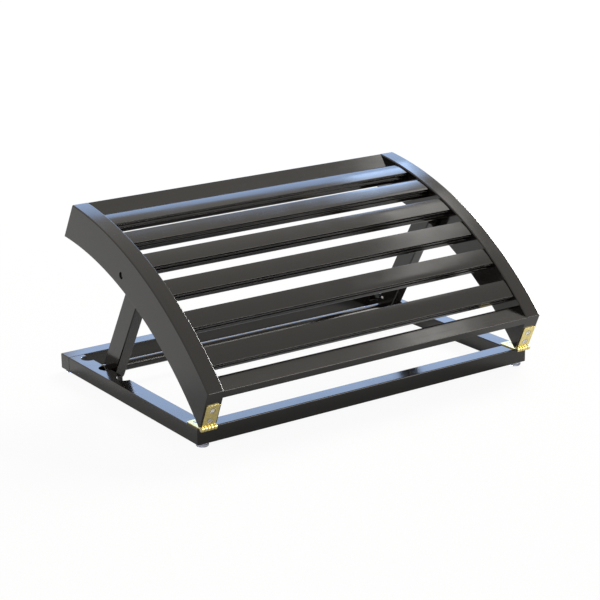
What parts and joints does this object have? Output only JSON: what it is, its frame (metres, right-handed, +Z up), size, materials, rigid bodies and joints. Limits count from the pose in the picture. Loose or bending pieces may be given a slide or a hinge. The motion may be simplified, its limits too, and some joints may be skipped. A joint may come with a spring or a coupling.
{
  "type": "footrest",
  "caption": "Slatted bamboo footrest: a curved platform hinged to a flat base frame and propped by a swinging strut whose pegs drop into pockets in the base.",
  "frame": {"origin": "middle of the bounding box in X and Y, on the plane that the four bumper feet stand on", "axes": "+X along the slats to the right of someone who faces the hinged front, +Y to the raised rear, +Z up"},
  "size_m": [0.45, 0.3268, 0.2099],
  "materials": {
    "lacquered_bamboo": "dark espresso gloss lacquer over bamboo",
    "plain_bamboo": "bare bamboo dowel, hidden in the joints",
    "hinge_brass": "pale polished brass plate",
    "screw_steel": "bright zinc-plated steel",
    "spacer_steel": "plain steel washer",
    "clear_bumper": "clear soft bumper with a faint blue tint"
  },
  "bodies": {
    "base": {"base_left_rail": "lacquered_bamboo", "base_right_rail": "lacquered_bamboo", "base_front_rail": "lacquered_bamboo", "base_rear_rail": "lacquered_bamboo", "base_corner_dowels": "plain_bamboo", "foot_front_left": "clear_bumper", "foot_front_right": "clear_bumper", "foot_rear_left": "clear_bumper", "foot_rear_right": "clear_bumper", "left_base_leaf": "hinge_brass", "right_base_leaf": "hinge_brass", "left_hinge_pin": "screw_steel", "right_hinge_pin": "screw_steel", "left_base_screws": "screw_steel", "right_base_screws": "screw_steel"},
    "platform": {"left_side_rail": "lacquered_bamboo", "right_side_rail": "lacquered_bamboo", "slat_1_rear": "lacquered_bamboo", "slat_2": "lacquered_bamboo", "slat_3": "lacquered_bamboo", "slat_4": "lacquered_bamboo", "slat_5": "lacquered_bamboo", "slat_6": "lacquered_bamboo", "slat_7": "lacquered_bamboo", "slat_8_front": "lacquered_bamboo", "slat_dowels": "plain_bamboo", "left_platform_leaf": "hinge_brass", "right_platform_leaf": "hinge_brass", "left_platform_screws": "screw_steel", "right_platform_screws": "screw_steel", "left_pivot_dowel": "lacquered_bamboo", "right_pivot_dowel": "lacquered_bamboo", "left_pivot_spacer": "spacer_steel", "right_pivot_spacer": "spacer_steel"},
    "strut": {"left_leg": "lacquered_bamboo", "right_leg": "lacquered_bamboo", "cross_dowel": "lacquered_bamboo", "left_leg_screw": "screw_steel", "right_leg_screw": "screw_steel"}
  },
  "joints": [
    {"name": "platform_tilt", "type": "hinge", "parent": "base", "child": "platform", "pos_m": [0, -0.14622, 0.0239], "axis": [1, 0, 0], "range_deg": [0, 90]},
    {"name": "strut_swing", "type": "hinge", "parent": "platform", "child": "strut", "pos_m": [0, 0.00958, 0.15288], "axis": [1, 0, 0], "range_deg": [-78, 0]}
  ],
  "couplings": [
    {"joint": "strut_swing", "follows": "platform_tilt", "ratio": -0.8666}
  ]
}
